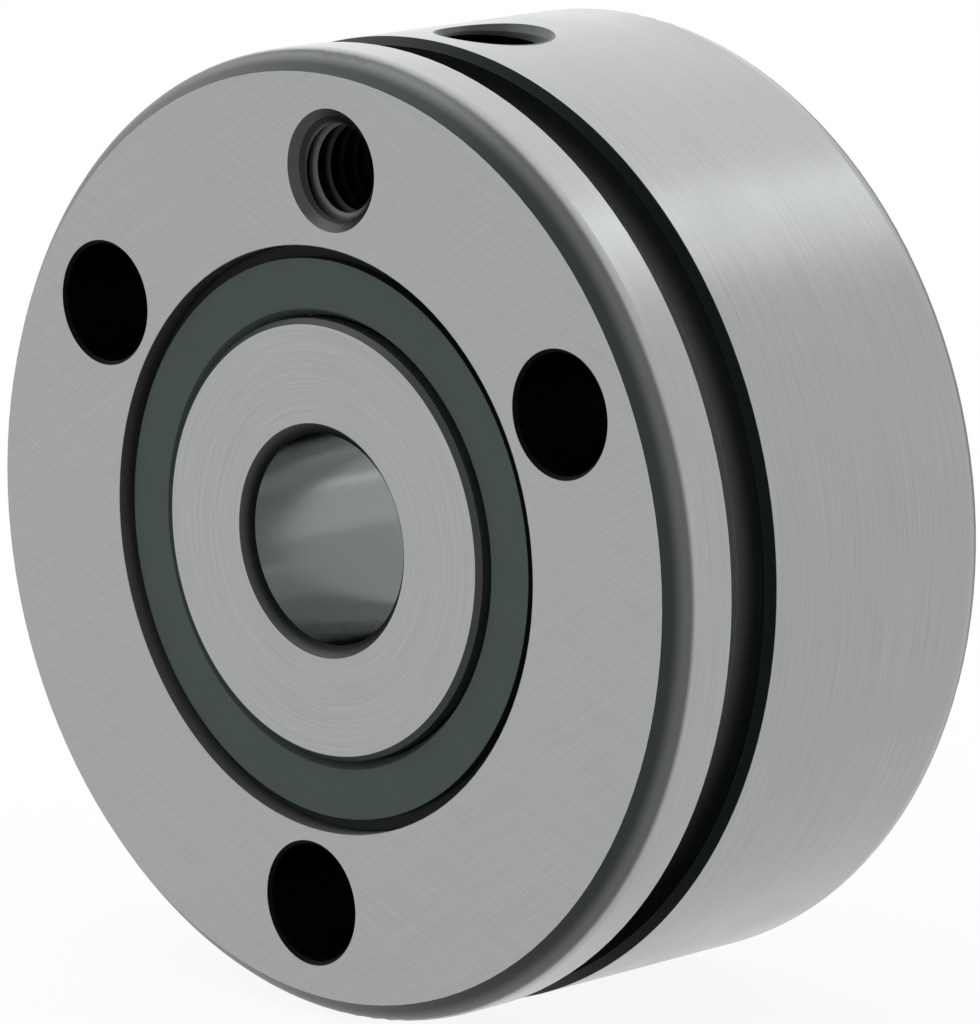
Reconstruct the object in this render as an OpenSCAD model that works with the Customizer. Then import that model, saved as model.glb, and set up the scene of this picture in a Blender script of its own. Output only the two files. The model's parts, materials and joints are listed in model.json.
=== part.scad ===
// Screw-mounted axial angular contact ball bearing: two rows of balls, a two-part inner ring,
// snap-in rubber seals and two threaded lubrication ports. Millimetres.
// The axis lies along Y and the front face looks towards -Y.

/* [Rings] */
// Diameter of the shaft bore
bore_d = 12; // [8:0.5:20]
// Width of both rings
width = 25; // [22:0.5:36]
// Wall between the bore and the bottom of the inner raceways
inner_wall = 4.175; // [3:0.005:6]
// Drop from the ball centres to the edge of the inner flanges
flange_drop = 0.5; // [0.3:0.05:0.8]
// Rise from the ball centres to the bore of the rib between the outer raceways
rib_rise = 0.4; // [0.2:0.05:1]
// Step from the ball path up to the seal seat
seat_step = 0.93; // [0.7:0.01:1.4]
// Wall between the seal seat and the bolt holes
seat_wall = 0.975; // [0.7:0.005:3]
// Wall between the bolt holes and the rim
rim_wall = 3.1; // [2.8:0.05:8]

/* [Edges] */
// Chamfer between the front face and the rim
front_chamfer = 1.2; // [0.5:0.1:2]
// Chamfer at the rear end of the rim
rear_chamfer = 1; // [0.5:0.1:2]
// Radius of the arc that blends both chamfers into the rim
edge_blend = 1.5; // [0.4:0.1:1.6]
// Chamfer at the outer edge of each inner flange
flange_chamfer = 0.28; // [0.1:0.02:0.5]
// Chamfer at both ends of the bore
bore_chamfer = 0.6; // [0.2:0.1:1]

/* [Extraction groove] */
// Distance from the front face to the groove
groove_setback = 4.15; // [3:0.05:5]
// Width of the groove at its floor
groove_w = 3.1; // [2:0.1:4]
// Depth of the groove below the rim
groove_depth = 2.5; // [1:0.1:2.8]
// Broken edge at the rear side of the groove
groove_break = 0.5; // [0.1:0.1:0.8]

/* [Bolt holes] */
// Diameter of each bolt hole
bolt_hole_d = 6.8; // [5:0.1:9]
// Chamfer at both ends of each bolt hole
bolt_hole_chamfer = 0.2; // [0.1:0.05:0.3]
// Number of bolt holes
bolt_count = 3; // [3:1:6]
// Turn of the hole pattern about the axis, in degrees
pattern_turn = -2.5; // [-30:0.5:30]

/* [Lubrication ports] */
// Nominal diameter of the two threaded ports
port_d = 6; // [4:0.5:6.5]
// Countersink at the mouth of each port
port_sink = 0.45; // [0.1:0.05:0.5]
// Depth of the port in the front face
axial_port_depth = 7; // [5:0.1:8]
// Depth of the port in the rim
radial_port_depth = 5; // [4:0.1:5.5]
// Diameter of the duct from the rim port to the balls
radial_duct_d = 2; // [1.8:0.1:2.4]
// Diameter of the duct from the face port to the other duct
axial_duct_d = 1.6; // [1:0.1:1.7]

/* [Balls and raceways] */
// Diameter of a ball
ball_d = 5.55; // [4.5:0.01:6.3]
// Number of balls in a row
ball_count = 12; // [8:1:12]
// Clearance between a ball and its raceways
race_play = 0.05; // [0.02:0.01:0.1]
// Height of the low lip that holds the balls in each raceway
race_lip = 0.13; // [0.05:0.01:0.3]

/* [Cages] */
// Clearance between a cage and the two rings
cage_play = 0.25; // [0.1:0.05:0.4]
// Clearance between a ball and its pocket
pocket_play = 0.12; // [0.05:0.01:0.2]
// Thickness of the cage rim beyond the balls
cage_rim = 1.2; // [0.6:0.1:1.6]
// Gap between a cage and the seal stiffener
cage_end_play = 0.625; // [0.3:0.025:1]
// Reach of the cage prongs past the ball centres
prong_reach = 0.95; // [0.5:0.05:1.2]
// Bevel at the tips of the cage prongs
prong_bevel = 0.6; // [0.2:0.1:0.8]

/* [Seals] */
// Distance of the seal face below the ring face
seal_recess = 0.45; // [0.2:0.05:0.8]
// Thickness of the seal plate
seal_plate_t = 1.15; // [0.8:0.05:1.6]
// Width of the channel round the outside of the seal plate
seal_channel_w = 0.78; // [0.4:0.02:1]
// Depth of the seal seat below the ring face
seal_seat_depth = 2.5; // [2.2:0.1:2.9]
// Height over which the seal rim joins the plate
rim_lap = 0.4; // [0.2:0.05:0.7]
// Inset of the seal rim behind the edge of the plate
rim_inset = 0.2; // [0.1:0.05:0.4]
// Height of the snap bead round the seal rim
bead_h = 0.3; // [0.15:0.05:0.4]
// Width of the snap bead at its foot
bead_w = 0.6; // [0.4:0.05:0.7]
// Clearance between the seal rim and its seat
seal_fit = 0.04; // [0.02:0.01:0.08]
// Width of the sloping seal lip
lip_w = 0.5; // [0.3:0.05:0.8]
// Thickness of the lip at its tip
lip_t = 0.35; // [0.2:0.05:0.5]
// Running clearance between the lip and the flange
lip_play = 0.06; // [0.03:0.01:0.1]
// Thickness of the steel stiffener behind each seal
stiffener_t = 0.55; // [0.3:0.05:0.8]
// Clearance round both edges of the stiffener
stiffener_play = 0.1; // [0.05:0.05:0.3]

/* [Hidden] */
$fn = 96;
over = 1;
// Radii, from the bore outwards
bore_r = bore_d / 2;
ball_r = ball_d / 2;
race_r = ball_r + race_play;
pitch_r = bore_r + inner_wall + race_r;
neck_r = pitch_r - race_r + race_lip;
flange_r = pitch_r - flange_drop;
rib_r = pitch_r + rib_rise;
race_bore_r = pitch_r + race_r - race_lip;
seat_r = race_bore_r + seat_step;
bolt_hole_r = bolt_hole_d / 2;
bolt_circle_r = seat_r + seat_wall + bolt_hole_r;
rim_r = bolt_circle_r + bolt_hole_r + rim_wall;
// Slope of the chamfers, reach of their blend to both sides of the corner, and its end on the chamfer
slope = 45;
blend_reach = edge_blend * tan(slope / 2);
blend_end_r = rim_r - blend_reach * cos(slope);
blend_end_rise = blend_reach * sin(slope);
// Levels, from the ring face inwards
face_z = width / 2;
groove_z = face_z - groove_setback;
seal_face_z = face_z - seal_recess;
plate_z = seal_face_z - seal_plate_t;
seat_z = face_z - seal_seat_depth;
rim_top_z = plate_z + rim_lap;
bead_z = (seat_z + rim_top_z) / 2;
cage_top_z = plate_z - stiffener_t - cage_end_play;
row_z = cage_top_z - cage_rim - ball_r;
cage_low_z = row_z - prong_reach;
// Seal and cage radii
plate_r = seat_r - seal_channel_w;
rim_out_r = seat_r - seal_fit;
rim_in_r = plate_r - rim_inset;
lip_r = flange_r + lip_play;
cage_in_r = flange_r + cage_play;
cage_out_r = race_bore_r - cage_play;
// Direction of the ports
port_angle = 90 + pattern_turn;

function ball_name(row, i) = str(row, "_ball_", i < 10 ? "0" : "", i);
BALL_NODES = [for (row = ["front", "rear"]) for (i = [1 : ball_count]) ball_name(row, i)];

// Turns a shape built along Z so that its top looks towards -Y
module along_axis() {
    rotate([90, 0, 0]) children();
}

// Keeps the front copy of a shape, or flips it to the rear
module on_side(front) {
    mirror([0, 0, front ? 0 : 1]) children();
}

// Round groove that the balls of one row run in
module race_section() {
    translate([pitch_r, row_z]) circle(race_r);
}

// Sector whose arc blends a chamfer into the rim, placed by the corner that it replaces
module blend_sector(corner_z) {
    translate([rim_r - edge_blend, corner_z - blend_reach]) intersection() {
        circle(edge_blend);
        polygon([[0, 0], [2 * edge_blend, 0], [2 * edge_blend, 2 * edge_blend * tan(slope)]]);
    }
}

// Half section of the outer ring's rim with its chamfers and the extraction groove
module rim_section() {
    front_z = face_z - front_chamfer;
    rear_z = face_z - rear_chamfer;
    union() {
        polygon([
            [rib_r, -face_z],
            [rim_r - rear_chamfer, -face_z],
            [blend_end_r, -rear_z - blend_end_rise],
            [rim_r, -rear_z + blend_reach],
            [rim_r, groove_z - groove_w - groove_break],
            [rim_r - groove_break, groove_z - groove_w],
            [rim_r - groove_depth, groove_z - groove_w],
            [rim_r - groove_depth, groove_z],
            [rim_r, groove_z],
            [rim_r, front_z - blend_reach],
            [blend_end_r, front_z + blend_end_rise],
            [rim_r - front_chamfer, face_z],
            [rib_r, face_z]
        ]);
        blend_sector(front_z);
        mirror([0, 1]) blend_sector(rear_z);
    }
}

// Trapezoid of the snap bead, or of the groove that takes it when grown by a clearance
module bead_section(grow) {
    half_foot = bead_w / 2 + grow;
    tip_r = rim_out_r + bead_h + grow;
    polygon([
        [rim_in_r, bead_z - half_foot],
        [rim_out_r, bead_z - half_foot],
        [tip_r, bead_z - half_foot / 2],
        [tip_r, bead_z + half_foot / 2],
        [rim_out_r, bead_z + half_foot],
        [rim_in_r, bead_z + half_foot]
    ]);
}

// Space inside one half of the outer ring: raceway, ball path, seal seat and snap groove
module ring_opening_section() {
    race_section();
    translate([rib_r - over, row_z]) square([race_bore_r - rib_r + over, face_z - row_z + over]);
    translate([rib_r - over, seat_z]) square([seat_r - rib_r + over, seal_seat_depth + over]);
    bead_section(seal_fit);
}

// Through hole with a chamfer at both faces
module bolt_hole() {
    cylinder(h = width + 2 * over, r = bolt_hole_r, center = true);
    for (front = [true, false])
        on_side(front) translate([0, 0, face_z - bolt_hole_chamfer])
            cylinder(h = 2 * bolt_hole_chamfer, r1 = bolt_hole_r, r2 = bolt_hole_r + 2 * bolt_hole_chamfer);
}

// Blind port sunk from the origin along -Z, with a countersunk mouth
module port(depth) {
    port_r = port_d / 2;
    translate([0, 0, -depth]) cylinder(h = depth + over, r = port_r);
    translate([0, 0, -port_sink]) cylinder(h = 2 * port_sink, r1 = port_r, r2 = port_r + 2 * port_sink);
}

// Port in the front face and the duct behind it
module axial_port() {
    translate([bolt_circle_r, 0, face_z]) port(axial_port_depth);
    translate([bolt_circle_r, 0, 0]) cylinder(h = face_z - axial_port_depth + over, d = axial_duct_d);
}

// Port in the rim and the duct that leads from it to the space between the rows
module radial_port() {
    translate([rim_r, 0, 0]) rotate([0, 90, 0]) port(radial_port_depth);
    rotate([0, 90, 0]) cylinder(h = rim_r - radial_port_depth + over, d = radial_duct_d);
}

module outer_ring() {
    color("silver") along_axis() difference() {
        rotate_extrude() rim_section();
        for (front = [true, false])
            on_side(front) rotate_extrude() ring_opening_section();
        for (i = [0 : bolt_count - 1])
            rotate(port_angle + (i + 0.5) * 360 / bolt_count) translate([bolt_circle_r, 0, 0]) bolt_hole();
        rotate(port_angle) axial_port();
        rotate(port_angle) radial_port();
    }
}

// One half of the inner ring, from the middle of the bearing to its face
module inner_ring_half() {
    rotate_extrude() difference() {
        polygon([
            [bore_r, 0],
            [neck_r, 0],
            [neck_r, row_z],
            [flange_r, row_z],
            [flange_r, face_z - flange_chamfer],
            [flange_r - flange_chamfer, face_z],
            [bore_r + bore_chamfer, face_z],
            [bore_r, face_z - bore_chamfer]
        ]);
        race_section();
    }
}

module front_inner_ring() {
    color("gainsboro") along_axis() on_side(true) inner_ring_half();
}

module rear_inner_ring() {
    color("gainsboro") along_axis() on_side(false) inner_ring_half();
}

// Crown cage of one row: a rim outside the balls and prongs that reach between them
module crown_cage() {
    difference() {
        rotate_extrude() polygon([
            [cage_in_r, cage_low_z],
            [cage_out_r - prong_bevel, cage_low_z],
            [cage_out_r, cage_low_z + prong_bevel],
            [cage_out_r, cage_top_z],
            [cage_in_r, cage_top_z]
        ]);
        for (i = [1 : ball_count])
            ball_place(i) sphere(ball_r + pocket_play);
    }
}

module front_cage() {
    color("darkkhaki") along_axis() on_side(true) crown_cage();
}

module rear_cage() {
    color("darkkhaki") along_axis() on_side(false) crown_cage();
}

// Centre of ball i of a row, counted from the ports
module ball_place(i) {
    rotate(port_angle + (i - 1) * 360 / ball_count) translate([pitch_r, 0, row_z]) children();
}

module front_ball(i) {
    color("lightgray") along_axis() on_side(true) ball_place(i) sphere(ball_r);
}

module rear_ball(i) {
    color("lightgray") along_axis() on_side(false) ball_place(i) sphere(ball_r);
}

// Rubber ring: flat plate, sloping lip towards the flange, and a rim with its snap bead
module seal_ring() {
    union() {
        rotate_extrude() polygon([
            [flange_r + lip_w, seal_face_z],
            [plate_r, seal_face_z],
            [plate_r, rim_top_z],
            [rim_out_r, rim_top_z],
            [rim_out_r, seat_z],
            [rim_in_r, seat_z],
            [rim_in_r, plate_z],
            [lip_r, plate_z],
            [lip_r, plate_z + lip_t]
        ]);
        rotate_extrude() bead_section(0);
    }
}

module front_seal() {
    color("darkslategray") along_axis() on_side(true) seal_ring();
}

module rear_seal() {
    color("darkslategray") along_axis() on_side(false) seal_ring();
}

// Flat steel ring that backs the seal plate
module stiffener_ring() {
    in_r = flange_r + lip_w + stiffener_play;
    out_r = rim_in_r - stiffener_play;
    rotate_extrude() translate([in_r, plate_z - stiffener_t]) square([out_r - in_r, stiffener_t]);
}

module front_seal_stiffener() {
    color("dimgray") along_axis() on_side(true) stiffener_ring();
}

module rear_seal_stiffener() {
    color("dimgray") along_axis() on_side(false) stiffener_ring();
}

outer_ring();
front_inner_ring();
rear_inner_ring();
front_cage();
rear_cage();
front_seal();
rear_seal();
front_seal_stiffener();
rear_seal_stiffener();
for (i = [1 : ball_count]) {
    front_ball(i);
    rear_ball(i);
}
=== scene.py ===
import bpy
import json
import math
from mathutils import Matrix, Vector


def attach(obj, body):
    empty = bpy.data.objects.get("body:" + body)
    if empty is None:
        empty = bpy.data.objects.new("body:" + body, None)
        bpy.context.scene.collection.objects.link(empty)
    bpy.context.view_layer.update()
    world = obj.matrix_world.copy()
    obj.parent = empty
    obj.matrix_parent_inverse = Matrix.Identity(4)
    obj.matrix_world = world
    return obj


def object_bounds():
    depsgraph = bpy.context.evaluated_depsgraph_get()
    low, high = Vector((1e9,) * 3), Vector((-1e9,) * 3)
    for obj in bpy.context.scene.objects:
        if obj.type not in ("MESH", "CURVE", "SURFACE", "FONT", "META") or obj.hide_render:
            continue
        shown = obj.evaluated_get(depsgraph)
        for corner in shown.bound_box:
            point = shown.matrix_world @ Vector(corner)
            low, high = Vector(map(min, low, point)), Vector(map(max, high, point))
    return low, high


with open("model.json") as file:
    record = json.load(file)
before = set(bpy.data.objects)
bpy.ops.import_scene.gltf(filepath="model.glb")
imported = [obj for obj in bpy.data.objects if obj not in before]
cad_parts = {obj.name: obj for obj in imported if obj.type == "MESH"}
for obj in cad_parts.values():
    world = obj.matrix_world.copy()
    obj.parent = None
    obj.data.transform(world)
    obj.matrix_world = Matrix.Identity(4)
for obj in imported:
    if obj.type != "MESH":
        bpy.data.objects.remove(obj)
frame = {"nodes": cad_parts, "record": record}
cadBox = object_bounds()
nodes = frame["nodes"]
mounts = {mount["name"]: mount for mount in frame["record"]["mounts"]}
mm = 0.001
print("frame loaded:", len(nodes), "nodes")


def linearColour(hexText):
    # sRGB hex to the linear RGBA that a shader socket takes
    channels = [int(hexText[i:i + 2], 16) / 255 for i in (1, 3, 5)]
    linear = [c / 12.92 if c <= 0.04045 else ((c + 0.055) / 1.055) ** 2.4 for c in channels]
    return (*linear, 1.0)


def addNode(tree, kind, inputs=(), **settings):
    # one node with its settings; an input takes a value, a socket, or a node for the output that is in use
    node = tree.nodes.new("ShaderNode" + kind)
    for name, value in settings.items():
        setattr(node, name, value)
    for key, value in dict(inputs).items():
        if isinstance(value, bpy.types.Node):
            value = next(output for output in value.outputs if not output.is_unavailable)
        if isinstance(value, bpy.types.NodeSocket):
            tree.links.new(value, node.inputs[key])
        else:
            node.inputs[key].default_value = value
    return node


# sockets of the Mix node for colours and for numbers, which share their names
mixFactor, colourA, colourB, numberA, numberB = 0, 6, 7, 2, 3


def newMaterial(name):
    material = bpy.data.materials.new(name)
    material.use_nodes = True
    material.node_tree.nodes.clear()
    return material, material.node_tree


def ringPlaces(tree):
    # position in mm, distance from the bearing axis and place along it
    coordinate = addNode(tree, "TexCoord")
    position = addNode(tree, "VectorMath", {0: coordinate.outputs["Object"], "Scale": 1 / mm},
                       operation="SCALE")
    split = addNode(tree, "SeparateXYZ", {0: position})
    across = addNode(tree, "CombineXYZ", {0: split.outputs["X"], 2: split.outputs["Z"]})
    radius = addNode(tree, "VectorMath", {0: across}, operation="LENGTH")
    endwise = addNode(tree, "Math", {0: split.outputs["Y"]}, operation="ABSOLUTE")
    return {"position": position, "across": across, "x": split.outputs["X"], "axial": split.outputs["Y"],
            "z": split.outputs["Z"], "radius": radius, "endwise": endwise}


def finishEdge(tree, value, outside, inside):
    # mask of a finish: 0 where the value is outside, 1 where it is inside, soft between the two
    low, high = min(outside, inside), max(outside, inside)
    return addNode(tree, "MapRange", {"Value": value, "From Min": low, "From Max": high,
                                      "To Min": float(low == inside), "To Max": float(high == inside)},
                   interpolation_type="SMOOTHSTEP")


def roundMarks(tree, places, spacing, length):
    # marks that run round the axis: fine across the profile, long along the turn
    slant = 1.37                 # rim and faces both cross the marks
    slanted = addNode(tree, "Math", {0: places["axial"], 1: slant, 2: places["radius"]},
                      operation="MULTIPLY_ADD")
    profile = addNode(tree, "Math", {0: slanted, 1: 1 / spacing}, operation="MULTIPLY")
    alongX = addNode(tree, "Math", {0: places["x"], 1: 1 / length}, operation="MULTIPLY")
    alongZ = addNode(tree, "Math", {0: places["z"], 1: 1 / length}, operation="MULTIPLY")
    place = addNode(tree, "CombineXYZ", {0: alongX, 1: profile, 2: alongZ})
    return addNode(tree, "TexNoise", {"Vector": place, "Scale": 1.0, "Detail": 3.0, "Roughness": 0.6})


def crossedMarks(tree, places, spacing, length, angle):
    # two sets of straight grinding marks that cross on a flat face
    sets = []
    secondAngle = -0.7 * angle
    for turn in (angle, secondAngle):
        place = addNode(tree, "Mapping", {"Vector": places["position"],
                                          "Rotation": (0, math.radians(turn), 0)})
        squeezed = addNode(tree, "VectorMath", {0: place, 1: (1 / length, 0, 1 / spacing)},
                           operation="MULTIPLY")
        sets.append(addNode(tree, "TexNoise", {"Vector": squeezed, "Scale": 1.0, "Detail": 3.0,
                                               "Roughness": 0.6}))
    return addNode(tree, "Mix", {mixFactor: 0.5, numberA: sets[0], numberB: sets[1]})


# the two threaded ports: countersunk mouths, the turn where the thread starts, and the two depths between
# which painted shade darkens them fully
ports = {
    "sink": 0.45,
    "face_port": {"start": 180, "clear": 0.8, "black": 3.0},
    "rim_port": {"start": 0, "clear": 0.3, "black": 0.9},
}


def portPlace(tree, places, mount):
    # distance from a port's axis, depth under its mouth, and how far painted shade has darkened it there
    outward = Vector(mount["axis"])
    mouth = Vector(mount["pos_m"]) / mm + outward * (mount["dims"]["length_mm"] / 2 + ports["sink"])
    fromMouth = addNode(tree, "VectorMath", {0: places["position"], 1: mouth}, operation="SUBTRACT")
    beside = addNode(tree, "VectorMath", {0: fromMouth, 1: outward}, operation="CROSS_PRODUCT")
    away = addNode(tree, "VectorMath", {0: beside}, operation="LENGTH")
    depth = addNode(tree, "VectorMath", {0: fromMouth, 1: -outward}, operation="DOT_PRODUCT")
    port = ports[mount["name"]]
    return away, depth, finishEdge(tree, depth, port["clear"], port["black"])


# ground bearing steel of the outer ring: satin grey faces and rim, dark hardening scale with painted shade
# where the turned surface was left alone (chamfers), painted shade in the groove and on its broken edge,
# and painted shade in the drilled holes
ringSteel = {
    "face": "#a7aaa8", "rim": "#9fa2a1", "groundRoughness": 0.25,
    "markDark": "#808382", "markLight": "#b4b7b6", "markShare": 0.5,
    # the chamfer colours are hardening scale with painted shade, darker inside and lighter toward the rim
    "scaleInner": "#353838", "scaleOuter": "#5c5f5e", "scaleRoughness": 0.36,
    # the groove's foot, wall and broken-edge colours are painted shade
    "groove": "#a8abaa", "grooveFoot": "#6e7170", "grooveWall": "#3c3f40", "breakDark": "#141718",
    "grooveRoughness": 0.32, "seat": "#9a9d9c", "seatRoughness": 0.5,
    # the near-black colour of the bolt holes is painted shade
    "drilled": "#0d0e10", "drilledRoughness": 0.55,
    # the ports' deep colour is painted shade
    "port": "#434645", "portDeep": "#0b0c0d", "portRoughness": 0.35,
    "rimRadius": mounts["housing_seat"]["dims"]["r_mm"],
    "faceY": -mounts["front_face"]["pos_m"][1] / mm,
    "frontChamfer": 1.2, "rearChamfer": 1.0,
    "grooveFront": 4.15, "grooveRear": 7.25, "grooveBreak": 0.5, "grooveFloor": 2.5,
    "seatRadius": 16.625, "holeChamfer": 0.2,
    "soft": 0.02,                # half the width of the step from one finish to the next
    "skin": (0.006, 0.002),      # the ground finish of a face ends between these depths
    "scaleReach": (0.27, -0.06),  # the scale and its painted shade fade out over the blend, this far behind the chamfer
    "scaleInside": (0.2, 0.1),   # and starts this far inside it
    "scaleTurn": (0.85, 0.3),    # the darker inner and lighter outer painted shade meet between these distances from the rim
    "footFade": 0.004, "wallFade": 1.5, "breakFade": 0.1, "landFade": 1.0, "portFade": 1.0,
    "rimMarks": 0.14,            # real marks are about 0.03 mm apart, drawn coarser so that they show
    "faceMarks": 0.16, "faceMarkAngle": 32,
    "markLength": 9.0, "markDepth": 0.0012,
    "clouding": 7.0,             # size of the faint patches that handling leaves
    "cloudRange": (0.3, 0.7), "cloudRoughness": (-0.03, 0.05),
}


def scaleAndShadeEdges(tree, places):
    # chamfers with the steeper part of the blends that lead into them, where the scale and its painted
    # shade lie
    s = ringSteel
    rim, face = s["rimRadius"], s["faceY"]
    skinDeep, skinTop = s["skin"]
    offFace = finishEdge(tree, places["endwise"], face - skinTop, face - skinDeep)
    edges = []
    for size, side in ((s["frontChamfer"], -1), (s["rearChamfer"], 1)):
        none, full = (face - size - reach for reach in s["scaleReach"])
        edge = finishEdge(tree, places["endwise"], none, full)
        none, full = (rim - size - reach for reach in s["scaleInside"])
        atRim = finishEdge(tree, places["radius"], none, full)
        onSide = finishEdge(tree, places["axial"], 0, side)
        for mask in (atRim, onSide, offFace):
            edge = addNode(tree, "Math", {0: edge, 1: mask}, operation="MULTIPLY")
        edges.append(edge)
    return addNode(tree, "Math", {0: edges[0], 1: edges[1]}, operation="MAXIMUM")


def turnedPlaces(tree, places):
    # extraction groove with the broken edge behind it, and the seal seat
    s = ringSteel
    soft, rim, face = s["soft"], s["rimRadius"], s["faceY"]
    front, rear = s["grooveFront"] - face, s["grooveRear"] + s["grooveBreak"] - face
    groove = finishEdge(tree, places["radius"], rim - soft / 2, rim - 2 * soft)
    for mask in (finishEdge(tree, places["axial"], front - soft, front),
                 finishEdge(tree, places["axial"], rear + soft, rear)):
        groove = addNode(tree, "Math", {0: groove, 1: mask}, operation="MULTIPLY")
    seat = finishEdge(tree, places["radius"], s["seatRadius"] + 3 * soft, s["seatRadius"] + soft)
    # painted shade: the groove darkens from its foot up its wall, and its broken edge is darkest
    colour = linearColour(s["groove"])
    floor, edge = rim - s["grooveFloor"], rim - s["grooveBreak"]
    fades = {"grooveFoot": (floor, floor + s["footFade"]),
             "grooveWall": (floor, floor + s["wallFade"]),
             "breakDark": (edge - s["breakFade"], edge)}
    for finish, (start, end) in fades.items():
        reached = finishEdge(tree, places["radius"], start, end)
        colour = addNode(tree, "Mix", {mixFactor: reached, colourA: colour,
                                       colourB: linearColour(s[finish])}, data_type="RGBA")
    return groove, colour, seat


def holePlaces(tree, places):
    # bolt holes and ports with their chamfers, by the distance from their axes
    s = ringSteel
    soft = s["soft"]
    bolts = mounts["fixing_bolts"]["dims"]
    portAngle = math.atan2(mounts["face_port"]["pos_m"][2], mounts["face_port"]["pos_m"][0])
    edge = bolts["hole_r_mm"] + s["holeChamfer"]
    holes = []
    for i in range(bolts["count"]):
        angle = portAngle + (i + 0.5) * 2 * math.pi / bolts["count"]
        centre = Vector((math.cos(angle), 0, math.sin(angle))) * bolts["pcd_mm"] / 2
        away = addNode(tree, "VectorMath", {0: places["across"], 1: centre}, operation="DISTANCE")
        holes.append(finishEdge(tree, away, edge + soft, edge - soft))
    drilled = holes[0]
    for hole in holes[1:]:
        drilled = addNode(tree, "Math", {0: drilled, 1: hole}, operation="MAXIMUM")
    # a port's axis also meets the far side of the ring, so its mask ends at the port's own depth
    insides, depthShades = [], []
    for mount in (mounts["face_port"], mounts["rim_port"]):
        mouth, length = mount["dims"]["r_mm"] + ports["sink"], mount["dims"]["length_mm"]
        away, depth, dark = portPlace(tree, places, mount)
        inside = finishEdge(tree, away, mouth + soft, mouth - soft)
        near = finishEdge(tree, depth, length + s["portFade"], length)
        insides.append(addNode(tree, "Math", {0: inside, 1: near}, operation="MULTIPLY"))
        depthShades.append(dark)
    mouths = addNode(tree, "Math", {0: insides[0], 1: insides[1]}, operation="MAXIMUM")
    depthShade = addNode(tree, "Math", {0: depthShades[0], 1: depthShades[1]}, operation="MINIMUM")
    return drilled, mouths, depthShade


def ringMaterial():
    s = ringSteel
    material, tree = newMaterial("groundBearingSteel")
    places = ringPlaces(tree)
    # marks of the wheel: round the rim, crossed on the faces
    skinDeep, skinTop = s["skin"]
    onFace = finishEdge(tree, places["endwise"], s["faceY"] - skinDeep, s["faceY"] - skinTop)
    rimLines = roundMarks(tree, places, s["rimMarks"], s["markLength"])
    faceLines = crossedMarks(tree, places, s["faceMarks"], s["markLength"], s["faceMarkAngle"])
    marks = addNode(tree, "Mix", {mixFactor: onFace, numberA: rimLines, numberB: faceLines})
    clouds = addNode(tree, "TexNoise", {"Vector": places["position"], "Scale": 1 / s["clouding"],
                                        "Detail": 4.0})
    # the front land was ground in one setting with the face, and is as bright
    landEnd = s["grooveFront"] - s["faceY"]
    land = finishEdge(tree, places["axial"], landEnd + s["landFade"], landEnd)
    bright = addNode(tree, "Math", {0: onFace, 1: land}, operation="MAXIMUM")
    ground = addNode(tree, "Mix", {mixFactor: bright, colourA: linearColour(s["rim"]),
                                   colourB: linearColour(s["face"])}, data_type="RGBA")
    shade = addNode(tree, "Mix", {mixFactor: marks, colourA: linearColour(s["markDark"]),
                                  colourB: linearColour(s["markLight"])}, data_type="RGBA")
    colour = addNode(tree, "Mix", {mixFactor: s["markShare"], colourA: ground, colourB: shade},
                     data_type="RGBA")
    smoother, rougher = (s["groundRoughness"] + change for change in s["cloudRoughness"])
    rough = addNode(tree, "MapRange", {"Value": clouds, "From Min": s["cloudRange"][0],
                                       "From Max": s["cloudRange"][1], "To Min": smoother,
                                       "To Max": rougher})
    # the other finishes, one over the other
    # painted shade on the scale: darker on the chamfer, lighter on the blend toward the rim
    none, full = (s["rimRadius"] - away for away in s["scaleTurn"])
    acrossChamfer = finishEdge(tree, places["radius"], none, full)
    scale = addNode(tree, "Mix", {mixFactor: acrossChamfer, colourA: linearColour(s["scaleInner"]),
                                  colourB: linearColour(s["scaleOuter"])}, data_type="RGBA")
    groove, shadedGroove, seat = turnedPlaces(tree, places)
    drilled, mouths, depthShade = holePlaces(tree, places)
    # painted shade: the ports grow darker with depth
    port = addNode(tree, "Mix", {mixFactor: depthShade, colourA: linearColour(s["port"]),
                                 colourB: linearColour(s["portDeep"])}, data_type="RGBA")
    for mask, over, overRough in ((groove, shadedGroove, s["grooveRoughness"]),
                                  (seat, linearColour(s["seat"]), s["seatRoughness"]),
                                  (scaleAndShadeEdges(tree, places), scale, s["scaleRoughness"]),
                                  (drilled, linearColour(s["drilled"]), s["drilledRoughness"]),
                                  (mouths, port, s["portRoughness"])):
        colour = addNode(tree, "Mix", {mixFactor: mask, colourA: colour, colourB: over}, data_type="RGBA")
        rough = addNode(tree, "Mix", {mixFactor: mask, numberA: rough, numberB: overRough})
    bump = addNode(tree, "Bump", {"Strength": 1.0, "Distance": s["markDepth"] * mm, "Height": marks})
    shader = addNode(tree, "BsdfPrincipled", {"Base Color": colour, "Roughness": rough, "Metallic": 1.0,
                                              "Normal": bump})
    addNode(tree, "OutputMaterial", {"Surface": shader})
    return material


# ground bearing steel of the inner ring: finer and a little brighter, with a honed bore and scaled chamfers
innerSteel = {
    "ground": "#a2a5a4", "dark": "#868988", "light": "#b8bbba", "markShare": 0.5, "roughness": 0.25,
    "bore": "#afb2b1", "boreRoughness": 0.14,
    "scale": "#3e4140", "scaleDark": "#121414", "scaleFlange": "#3c3f3e", "scaleRoughness": 0.4,
    "boreRadius": mounts["shaft_bore"]["dims"]["r_mm"], "boreChamfer": 0.6,
    "flangeRadius": 12.5, "flangeChamfer": 0.28, "faceY": -mounts["front_face"]["pos_m"][1] / mm,
    "scaleFade": (0.1, 0.6),     # the chamfer's own colour is reached between these distances from the bore
    "flangeFade": (2.0, 1.0),    # and the flange's between these from its edge
    "soft": 0.02, "marks": 0.13, "markLength": 8.0, "markDepth": 0.001,
    "clouding": 5.0, "cloudRange": (0.3, 0.7), "cloudRoughness": (-0.03, 0.05),
}


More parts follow.
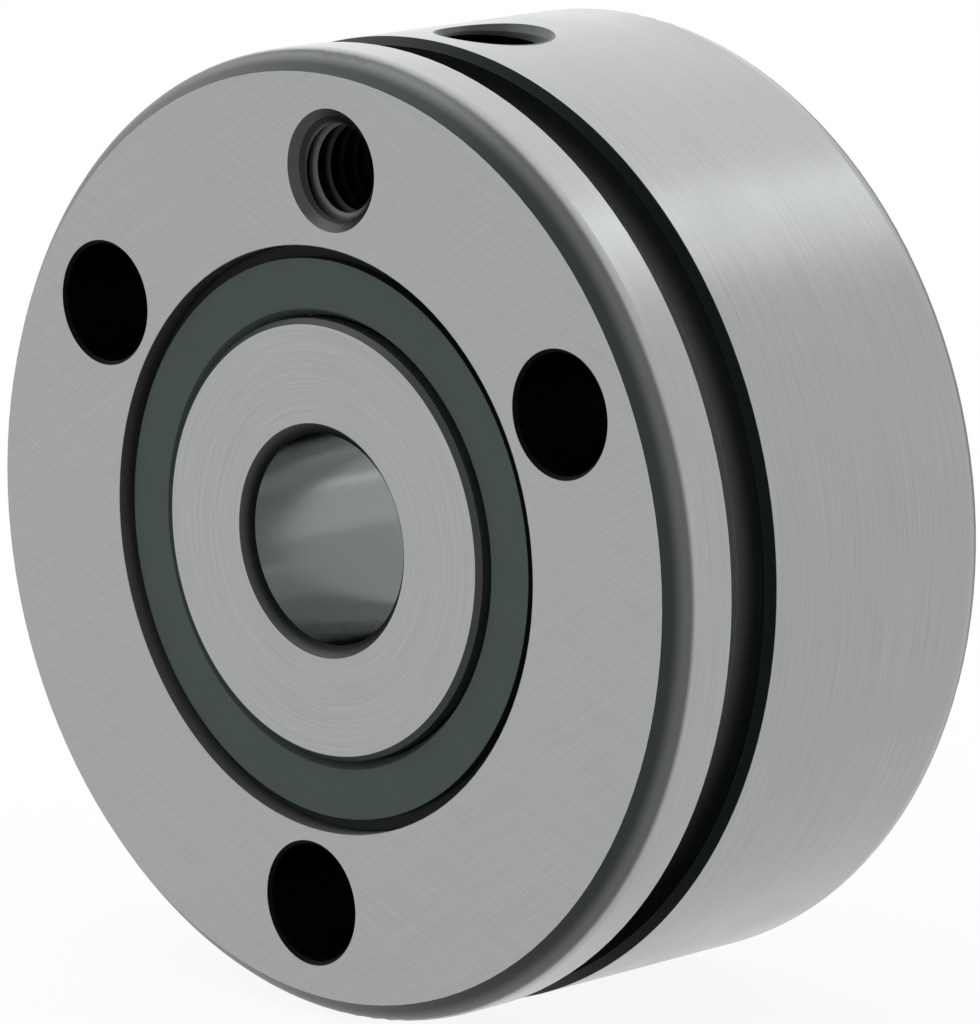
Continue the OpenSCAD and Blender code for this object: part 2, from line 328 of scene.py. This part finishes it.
def innerRingMaterial():
    s = innerSteel
    material, tree = newMaterial("honedBearingSteel")
    places = ringPlaces(tree)
    soft = s["soft"]
    marks = roundMarks(tree, places, s["marks"], s["markLength"])
    clouds = addNode(tree, "TexNoise", {"Vector": places["position"], "Scale": 1 / s["clouding"],
                                        "Detail": 4.0})
    shade = addNode(tree, "Mix", {mixFactor: marks, colourA: linearColour(s["dark"]),
                                  colourB: linearColour(s["light"])}, data_type="RGBA")
    colour = addNode(tree, "Mix", {mixFactor: s["markShare"], colourA: linearColour(s["ground"]),
                                   colourB: shade}, data_type="RGBA")
    smoother, rougher = (s["roughness"] + change for change in s["cloudRoughness"])
    rough = addNode(tree, "MapRange", {"Value": clouds, "From Min": s["cloudRange"][0],
                                       "From Max": s["cloudRange"][1], "To Min": smoother,
                                       "To Max": rougher})
    # the bore within its radius, and both chamfers on their cones
    inBore = finishEdge(tree, places["radius"], s["boreRadius"] + 2 * soft, s["boreRadius"] + soft)
    boreSlope = addNode(tree, "Math", {0: places["endwise"], 1: places["radius"]}, operation="SUBTRACT")
    boreEdge = s["faceY"] - s["boreChamfer"] - s["boreRadius"]
    flangeSlope = addNode(tree, "Math", {0: places["endwise"], 1: places["radius"]}, operation="ADD")
    flangeEdge = s["faceY"] - s["flangeChamfer"] + s["flangeRadius"]
    byBore = finishEdge(tree, boreSlope, boreEdge - 3 * soft, boreEdge - soft)
    byFlange = finishEdge(tree, flangeSlope, flangeEdge - 3 * soft, flangeEdge - soft)
    scale = addNode(tree, "Math", {0: byBore, 1: byFlange}, operation="MAXIMUM")
    # the scale is blackest where the chamfer meets the bore
    scaleColour = linearColour(s["scaleDark"])
    fades = {"scale": [s["boreRadius"] + away for away in s["scaleFade"]],
             "scaleFlange": [s["flangeRadius"] - away for away in s["flangeFade"]]}
    for finish, (start, end) in fades.items():
        reached = finishEdge(tree, places["radius"], start, end)
        scaleColour = addNode(tree, "Mix", {mixFactor: reached, colourA: scaleColour,
                                            colourB: linearColour(s[finish])}, data_type="RGBA")
    for mask, over, overRough in ((inBore, linearColour(s["bore"]), s["boreRoughness"]),
                                  (scale, scaleColour, s["scaleRoughness"])):
        colour = addNode(tree, "Mix", {mixFactor: mask, colourA: colour, colourB: over}, data_type="RGBA")
        rough = addNode(tree, "Mix", {mixFactor: mask, numberA: rough, numberB: overRough})
    bump = addNode(tree, "Bump", {"Strength": 1.0, "Distance": s["markDepth"] * mm, "Height": marks})
    shader = addNode(tree, "BsdfPrincipled", {"Base Color": colour, "Roughness": rough, "Metallic": 1.0,
                                              "Normal": bump})
    addNode(tree, "OutputMaterial", {"Surface": shader})
    return material


# lapped bearing balls: near mirror, with the faintest haze
ballSteel = {"colour": "#c6c8ca", "haze": "#babdbf", "hazeSize": 1.5, "roughness": (0.06, 0.11)}


def ballMaterial():
    s = ballSteel
    material, tree = newMaterial("lappedBallSteel")
    coordinate = addNode(tree, "TexCoord")
    haze = addNode(tree, "TexNoise", {"Vector": coordinate.outputs["Object"],
                                      "Scale": 1 / (s["hazeSize"] * mm), "Detail": 3.0})
    colour = addNode(tree, "Mix", {mixFactor: haze, colourA: linearColour(s["colour"]),
                                   colourB: linearColour(s["haze"])}, data_type="RGBA")
    rough = addNode(tree, "MapRange", {"Value": haze, "To Min": s["roughness"][0],
                                       "To Max": s["roughness"][1]})
    shader = addNode(tree, "BsdfPrincipled", {"Base Color": colour, "Roughness": rough, "Metallic": 1.0})
    addNode(tree, "OutputMaterial", {"Surface": shader})
    return material


# moulded glass-filled polyamide of the cages: waxy amber beige with short pale fibres
cagePlastic = {
    "colour": "#b09a6c", "fibre": "#c9b78c", "fibreWidth": 0.05, "fibreLength": 0.4,
    "fibreRange": (0.5, 0.72), "fibreDepth": 0.004, "bumpStrength": 0.6, "roughness": 0.42,
    "lightShare": 0.08, "lightDepth": 0.4,   # light that enters the plastic, and how deep
}


def cageMaterial():
    s = cagePlastic
    material, tree = newMaterial("mouldedGlassPolyamide")
    coordinate = addNode(tree, "TexCoord")
    along, across = 1 / (s["fibreLength"] * mm), 1 / (s["fibreWidth"] * mm)
    squeezed = addNode(tree, "VectorMath", {0: coordinate.outputs["Object"], 1: (along, across, along)},
                       operation="MULTIPLY")
    fibres = addNode(tree, "TexNoise", {"Vector": squeezed, "Scale": 1.0, "Detail": 2.0})
    streaks = addNode(tree, "MapRange", {"Value": fibres, "From Min": s["fibreRange"][0],
                                         "From Max": s["fibreRange"][1]})
    colour = addNode(tree, "Mix", {mixFactor: streaks, colourA: linearColour(s["colour"]),
                                   colourB: linearColour(s["fibre"])}, data_type="RGBA")
    bump = addNode(tree, "Bump", {"Strength": s["bumpStrength"], "Distance": s["fibreDepth"] * mm,
                                  "Height": fibres})
    shader = addNode(tree, "BsdfPrincipled", {"Base Color": colour, "Roughness": s["roughness"],
                                              "Subsurface Weight": s["lightShare"],
                                              "Subsurface Scale": s["lightDepth"] * mm, "Normal": bump})
    addNode(tree, "OutputMaterial", {"Surface": shader})
    return material


# moulded nitrile rubber of the seals: matte dark green-grey with a fine spark-eroded grain and dusty
# patches, and painted shade in the channel round the plate
sealRubber = {
    "colour": "#394742", "dusty": "#434e4a", "channel": "#0d1110", "plateRadius": 15.845,
    "channelFade": (0.025, 0.005),           # the painted shade of the channel starts this far inside the plate's edge
    "grain": 0.11, "patches": 3.0, "roughness": (0.54, 0.72), "gloss": 0.25,
    "grainDepth": 0.006, "bumpStrength": 0.8, "edgeRound": 0.08, "edgeSamples": 4,
}


def sealMaterial():
    s = sealRubber
    material, tree = newMaterial("mouldedNitrileRubber")
    places = ringPlaces(tree)
    grain = addNode(tree, "TexNoise", {"Vector": places["position"], "Scale": 1 / s["grain"],
                                       "Detail": 2.0})
    patches = addNode(tree, "TexNoise", {"Vector": places["position"], "Scale": 1 / s["patches"],
                                         "Detail": 4.0})
    colour = addNode(tree, "Mix", {mixFactor: patches, colourA: linearColour(s["colour"]),
                                   colourB: linearColour(s["dusty"])}, data_type="RGBA")
    none, full = (s["plateRadius"] - inside for inside in s["channelFade"])
    inChannelShade = finishEdge(tree, places["radius"], none, full)
    # painted shade in the channel round the plate
    colour = addNode(tree, "Mix", {mixFactor: inChannelShade, colourA: colour,
                                   colourB: linearColour(s["channel"])}, data_type="RGBA")
    rough = addNode(tree, "MapRange", {"Value": grain, "To Min": s["roughness"][0],
                                       "To Max": s["roughness"][1]})
    rounded = addNode(tree, "Bevel", {"Radius": s["edgeRound"] * mm}, samples=s["edgeSamples"])
    bump = addNode(tree, "Bump", {"Strength": s["bumpStrength"], "Distance": s["grainDepth"] * mm,
                                  "Height": grain, "Normal": rounded})
    shader = addNode(tree, "BsdfPrincipled", {"Base Color": colour, "Roughness": rough,
                                              "Specular IOR Level": s["gloss"], "Normal": bump})
    addNode(tree, "OutputMaterial", {"Surface": shader})
    return material


# cold-rolled sheet of the seal stiffeners: dull grey with straight rolling lines
stiffenerSheet = {
    "colour": "#85888a", "line": "#74777a", "lineWidth": 0.1, "lineLength": 6.0, "roughness": (0.32, 0.46),
}


def stiffenerMaterial():
    s = stiffenerSheet
    material, tree = newMaterial("coldRolledSheet")
    coordinate = addNode(tree, "TexCoord")
    along, across = 1 / (s["lineLength"] * mm), 1 / (s["lineWidth"] * mm)
    squeezed = addNode(tree, "VectorMath", {0: coordinate.outputs["Object"], 1: (along, across, across)},
                       operation="MULTIPLY")
    lines = addNode(tree, "TexNoise", {"Vector": squeezed, "Scale": 1.0, "Detail": 3.0})
    colour = addNode(tree, "Mix", {mixFactor: lines, colourA: linearColour(s["colour"]),
                                   colourB: linearColour(s["line"])}, data_type="RGBA")
    rough = addNode(tree, "MapRange", {"Value": lines, "To Min": s["roughness"][0],
                                       "To Max": s["roughness"][1]})
    shader = addNode(tree, "BsdfPrincipled", {"Base Color": colour, "Roughness": rough, "Metallic": 1.0})
    addNode(tree, "OutputMaterial", {"Surface": shader})
    return material


# cut thread: crests rubbed bright, flanks under an oily preserving film, and painted shade that darkens it
# with depth
threadSteel = {
    "crest": "#565958", "film": "#2a2c2c", "deep": "#0b0c0d", "crestRadius": 2.55, "flankRadius": 2.8,
    "filmSize": 0.6, "roughness": (0.28, 0.46),
}


def threadMaterial(mount):
    s = threadSteel
    material, tree = newMaterial("tappedSteel" + mount["name"].title().replace("_", ""))
    places = ringPlaces(tree)
    away, depth, dark = portPlace(tree, places, mount)
    film = addNode(tree, "TexNoise", {"Vector": places["position"], "Scale": 1 / s["filmSize"],
                                      "Detail": 4.0})
    onFlank = finishEdge(tree, away, s["crestRadius"], s["flankRadius"])
    colour = addNode(tree, "Mix", {mixFactor: onFlank, colourA: linearColour(s["crest"]),
                                   colourB: linearColour(s["film"])}, data_type="RGBA")
    # painted shade that darkens the thread deeper in the port
    colour = addNode(tree, "Mix", {mixFactor: dark, colourA: colour, colourB: linearColour(s["deep"])},
                     data_type="RGBA")
    rough = addNode(tree, "MapRange", {"Value": film, "To Min": s["roughness"][0],
                                       "To Max": s["roughness"][1]})
    shader = addNode(tree, "BsdfPrincipled", {"Base Color": colour, "Roughness": rough, "Metallic": 1.0})
    addNode(tree, "OutputMaterial", {"Surface": shader})
    return material


# every CAD node takes the finish of its slot
finishes = {
    "ring_steel": ringMaterial(),
    "inner_ring_steel": innerRingMaterial(),
    "ball_steel": ballMaterial(),
    "cage_polyamide": cageMaterial(),
    "seal_rubber": sealMaterial(),
    "stiffener_steel": stiffenerMaterial(),
}
for part in frame["record"]["subparts"]:
    node = nodes[part["node"]]
    node.data.materials.clear()
    node.data.materials.append(finishes[part["material_slot"]])
print("materials:", ", ".join(m.name for m in finishes.values()))


# thread ridges of the two ports: M6 with a pitch of 1 mm
portThread = {
    "pitch": 1.0 * mm, "ridge": 0.541 * mm, "footWidth": 0.875 * mm, "crestWidth": 0.25 * mm,
    "bed": 0.02 * mm,            # the foot sits this deep in the wall
    "sink": ports["sink"] * mm,  # countersink at the mouth
    "runOut": 0.5 * mm,          # plain wall left at the bottom
    "steps": 72, "weld": 0.001 * mm, "smoothAngle": 28,
}


def makePortThread(name, mount):
    s = portThread
    bpy.ops.object.select_all(action="DESELECT")
    wall = mount["dims"]["r_mm"] * mm
    depth = mount["dims"]["length_mm"] * mm
    foot, crest = wall + s["bed"], wall - s["ridge"]
    # a plane stood on edge, its inner edge narrowed to the crest
    bpy.ops.mesh.primitive_plane_add(size=1, location=((foot + crest) / 2, 0, 0),
                                     rotation=(math.pi / 2, 0, 0))
    thread = bpy.context.object
    thread.name = name
    thread.scale = (foot - crest, s["footWidth"], 1)
    bpy.ops.object.transform_apply(location=True, rotation=True, scale=True)
    bpy.ops.object.mode_set(mode="EDIT")
    bpy.ops.mesh.select_mode(type="VERT")
    bpy.ops.mesh.select_all(action="DESELECT")
    bpy.ops.object.mode_set(mode="OBJECT")
    for vertex in thread.data.vertices:
        vertex.select = vertex.co.x < (foot + crest) / 2
    bpy.ops.object.mode_set(mode="EDIT")
    bpy.ops.transform.resize(value=(1, 1, s["crestWidth"] / s["footWidth"]))
    bpy.ops.mesh.select_all(action="SELECT")
    bpy.ops.mesh.delete(type="ONLY_FACE")
    bpy.ops.object.mode_set(mode="OBJECT")
    # wound up the hole from its bottom
    turns = int((depth - s["runOut"]) / s["pitch"]) + 1
    screw = thread.modifiers.new("winding", "SCREW")
    screw.axis = "Z"
    screw.screw_offset = s["pitch"]
    screw.iterations = turns
    screw.steps = screw.render_steps = s["steps"]
    bpy.ops.object.modifier_apply(modifier=screw.name)
    bpy.ops.object.mode_set(mode="EDIT")
    bpy.ops.mesh.select_all(action="SELECT")
    bpy.ops.mesh.remove_doubles(threshold=s["weld"])
    bpy.ops.mesh.fill_holes(sides=4)
    bpy.ops.mesh.normals_make_consistent(inside=False)
    bpy.ops.object.mode_set(mode="OBJECT")
    thread.location = (0, 0, -depth - s["sink"] + s["runOut"])
    thread.rotation_euler = (0, 0, math.radians(ports[mount["name"]]["start"]))
    bpy.ops.object.transform_apply(location=True, rotation=True, scale=False)
    # the countersink takes the first turn down to a slope
    mouth = wall + s["sink"]
    bpy.ops.mesh.primitive_cone_add(vertices=s["steps"], radius1=0, radius2=2 * mouth, depth=2 * mouth,
                                    location=(0, 0, 0))
    sinker = bpy.context.object
    bpy.context.view_layer.objects.active = thread
    cut = thread.modifiers.new("countersink", "BOOLEAN")
    cut.object = sinker
    cut.operation = "DIFFERENCE"
    cut.solver = "EXACT"
    bpy.ops.object.modifier_apply(modifier=cut.name)
    bpy.data.objects.remove(sinker)
    # into its port, with its place in the mesh
    bpy.ops.object.select_all(action="DESELECT")
    thread.select_set(True)
    outward = Vector(mount["axis"])
    thread.location = Vector(mount["pos_m"]) + outward * (depth / 2 + s["sink"])
    thread.rotation_mode = "QUATERNION"
    thread.rotation_quaternion = outward.to_track_quat("Z", "Y")
    bpy.ops.object.transform_apply(location=True, rotation=True, scale=True)
    bpy.ops.object.shade_smooth_by_angle(angle=math.radians(s["smoothAngle"]))
    return thread


for name, mountName in (("face_port_thread", "face_port"), ("rim_port_thread", "rim_port")):
    thread = makePortThread(name, mounts[mountName])
    thread.data.materials.append(threadMaterial(mounts[mountName]))
    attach(thread, "outer_ring")
    print(name, "made with", len(thread.data.polygons), "faces")


# camera at the picture's place: seen from the front right, a little above
camera = {
    "azimuth": 44.95, "elevation": 11.62,     # degrees
    "toTheRight": 9.44 * mm, "upward": 1.62 * mm, "back": 424.86 * mm,   # from the centre of the front face
    "focalPixels": 7622, "frameWidth": 980, "frameHeight": 1024,
    "sensor": 36.0, "clip": (0.01, 20),
}


def placeCamera():
    s = camera
    turn, rise = math.radians(s["azimuth"]), math.radians(s["elevation"])
    right = Vector((math.cos(turn), math.sin(turn), 0))
    back = Vector((math.sin(turn) * math.cos(rise), -math.cos(turn) * math.cos(rise), math.sin(rise)))
    up = back.cross(right)
    bpy.ops.object.camera_add()
    eye = bpy.context.object
    eye.name = "pictureCamera"
    faceCentre = Vector((0, mounts["front_face"]["pos_m"][1], 0))
    eye.location = faceCentre + right * s["toTheRight"] + up * s["upward"] + back * s["back"]
    eye.rotation_mode = "QUATERNION"
    eye.rotation_quaternion = (-back).to_track_quat("-Z", "Y")
    eye.data.sensor_width = s["sensor"]
    eye.data.lens = s["focalPixels"] * eye.data.sensor_width / max(s["frameWidth"], s["frameHeight"])
    eye.data.clip_start, eye.data.clip_end = s["clip"]
    bpy.context.scene.camera = eye


placeCamera()
print("camera placed")


# pale floor, white surroundings and three soft boxes
studio = {
    "floorSize": 6.0, "floorGlow": 0.9, "floorShade": 0.1, "floorColour": "#f4f4f4",
    "skyLight": 0.68,            # light on matt surfaces; what is seen directly is white
    "boxDistance": 0.6,
}
softBoxes = {
    "rearBox": {"towards": (-0.444, 0.693, 0.568), "width": 1.1, "height": 0.36, "watts": 0.42},
    "stripBox": {"towards": (0.235, 0.693, 0.682), "width": 0.17, "height": 0.36, "watts": 0.125},
    "topBox": {"towards": (-0.692, -0.201, 0.693), "width": 0.84, "height": 0.5, "watts": 1.5},
}


def seenRay(tree):
    # 1 for camera, mirror and see-through rays, 0 for the light that falls on matt surfaces
    path = addNode(tree, "LightPath")
    seen = addNode(tree, "Math", {0: path.outputs["Is Camera Ray"], 1: path.outputs["Is Glossy Ray"]},
                   operation="MAXIMUM")
    return addNode(tree, "Math", {0: seen, 1: path.outputs["Is Transmission Ray"]},
                   operation="MAXIMUM").outputs[0]


def makeStudio():
    s = studio
    bpy.ops.object.select_all(action="DESELECT")
    bpy.ops.mesh.primitive_plane_add(size=s["floorSize"], location=(0, 0, cadBox[0].z))
    floor = bpy.context.object
    floor.name = "floor"
    material, tree = newMaterial("paleFloor")
    white = linearColour("#ffffff")
    matt = addNode(tree, "BsdfDiffuse", {"Color": linearColour(s["floorColour"])})
    faint = addNode(tree, "BsdfDiffuse", {"Color": (s["floorShade"],) * 3 + (1.0,)})
    glow = addNode(tree, "Emission", {"Color": white, "Strength": s["floorGlow"]})
    shown = addNode(tree, "AddShader", {0: faint, 1: glow})
    surface = addNode(tree, "MixShader", {0: seenRay(tree), 1: matt, 2: shown})
    addNode(tree, "OutputMaterial", {"Surface": surface})
    floor.data.materials.append(material)
    world = bpy.data.worlds.new("whiteStudio")
    bpy.context.scene.world = world
    world.use_nodes = True
    tree = world.node_tree
    tree.nodes.clear()
    soft = addNode(tree, "Background", {"Color": white, "Strength": s["skyLight"]})
    plain = addNode(tree, "Background", {"Color": white, "Strength": 1.0})
    surface = addNode(tree, "MixShader", {0: seenRay(tree), 1: soft, 2: plain})
    addNode(tree, "OutputWorld", {"Surface": surface})
    for name, box in softBoxes.items():
        towards = Vector(box["towards"]).normalized()
        bpy.ops.object.light_add(type="AREA", location=towards * s["boxDistance"])
        lamp = bpy.context.object
        lamp.name = name
        lamp.rotation_mode = "QUATERNION"
        # the width lies along the turn of the rim, so that its mirror image is a band across the rim
        across = Vector((0, 1, 0)).cross(towards).normalized()
        turn = Matrix((across, towards.cross(across), towards)).transposed()
        lamp.rotation_quaternion = turn.to_quaternion()
        lamp.data.shape = "RECTANGLE"
        lamp.data.size, lamp.data.size_y = box["width"], box["height"]
        lamp.data.energy = box["watts"]
        lamp.visible_camera = False
    bpy.context.scene.view_settings.view_transform = "Standard"


makeStudio()
print("studio set:", ", ".join(softBoxes))
